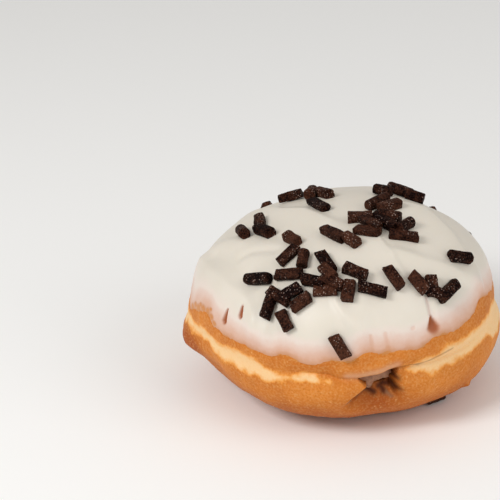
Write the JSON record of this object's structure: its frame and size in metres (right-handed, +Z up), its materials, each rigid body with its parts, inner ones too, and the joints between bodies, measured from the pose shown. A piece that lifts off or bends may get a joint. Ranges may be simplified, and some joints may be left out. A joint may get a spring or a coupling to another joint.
{
  "type": "filled iced doughnut with sprinkles",
  "caption": "Round filled doughnut without a hole: fried bun with a pale ring, a filling hole showing chocolate cream, and white icing with chocolate sprinkles.",
  "frame": {"origin": "on the table, in the flat spot under the bun, below the middle of the pale ring", "axes": "+Z up; the filling hole faces -Y, the front; +X is to the right seen from the front"},
  "size_m": [0.086, 0.0864, 0.0526],
  "materials": {
    "crust": "fried golden brown crust with a pale ring, slightly oily",
    "cream": "soft chocolate cream, matte",
    "icing": "set white sugar icing, satin, with dark chocolate sprinkles"
  },
  "bodies": {
    "root": {"dough": "crust", "filling": "cream", "icing": "icing"}
  },
  "joints": []
}
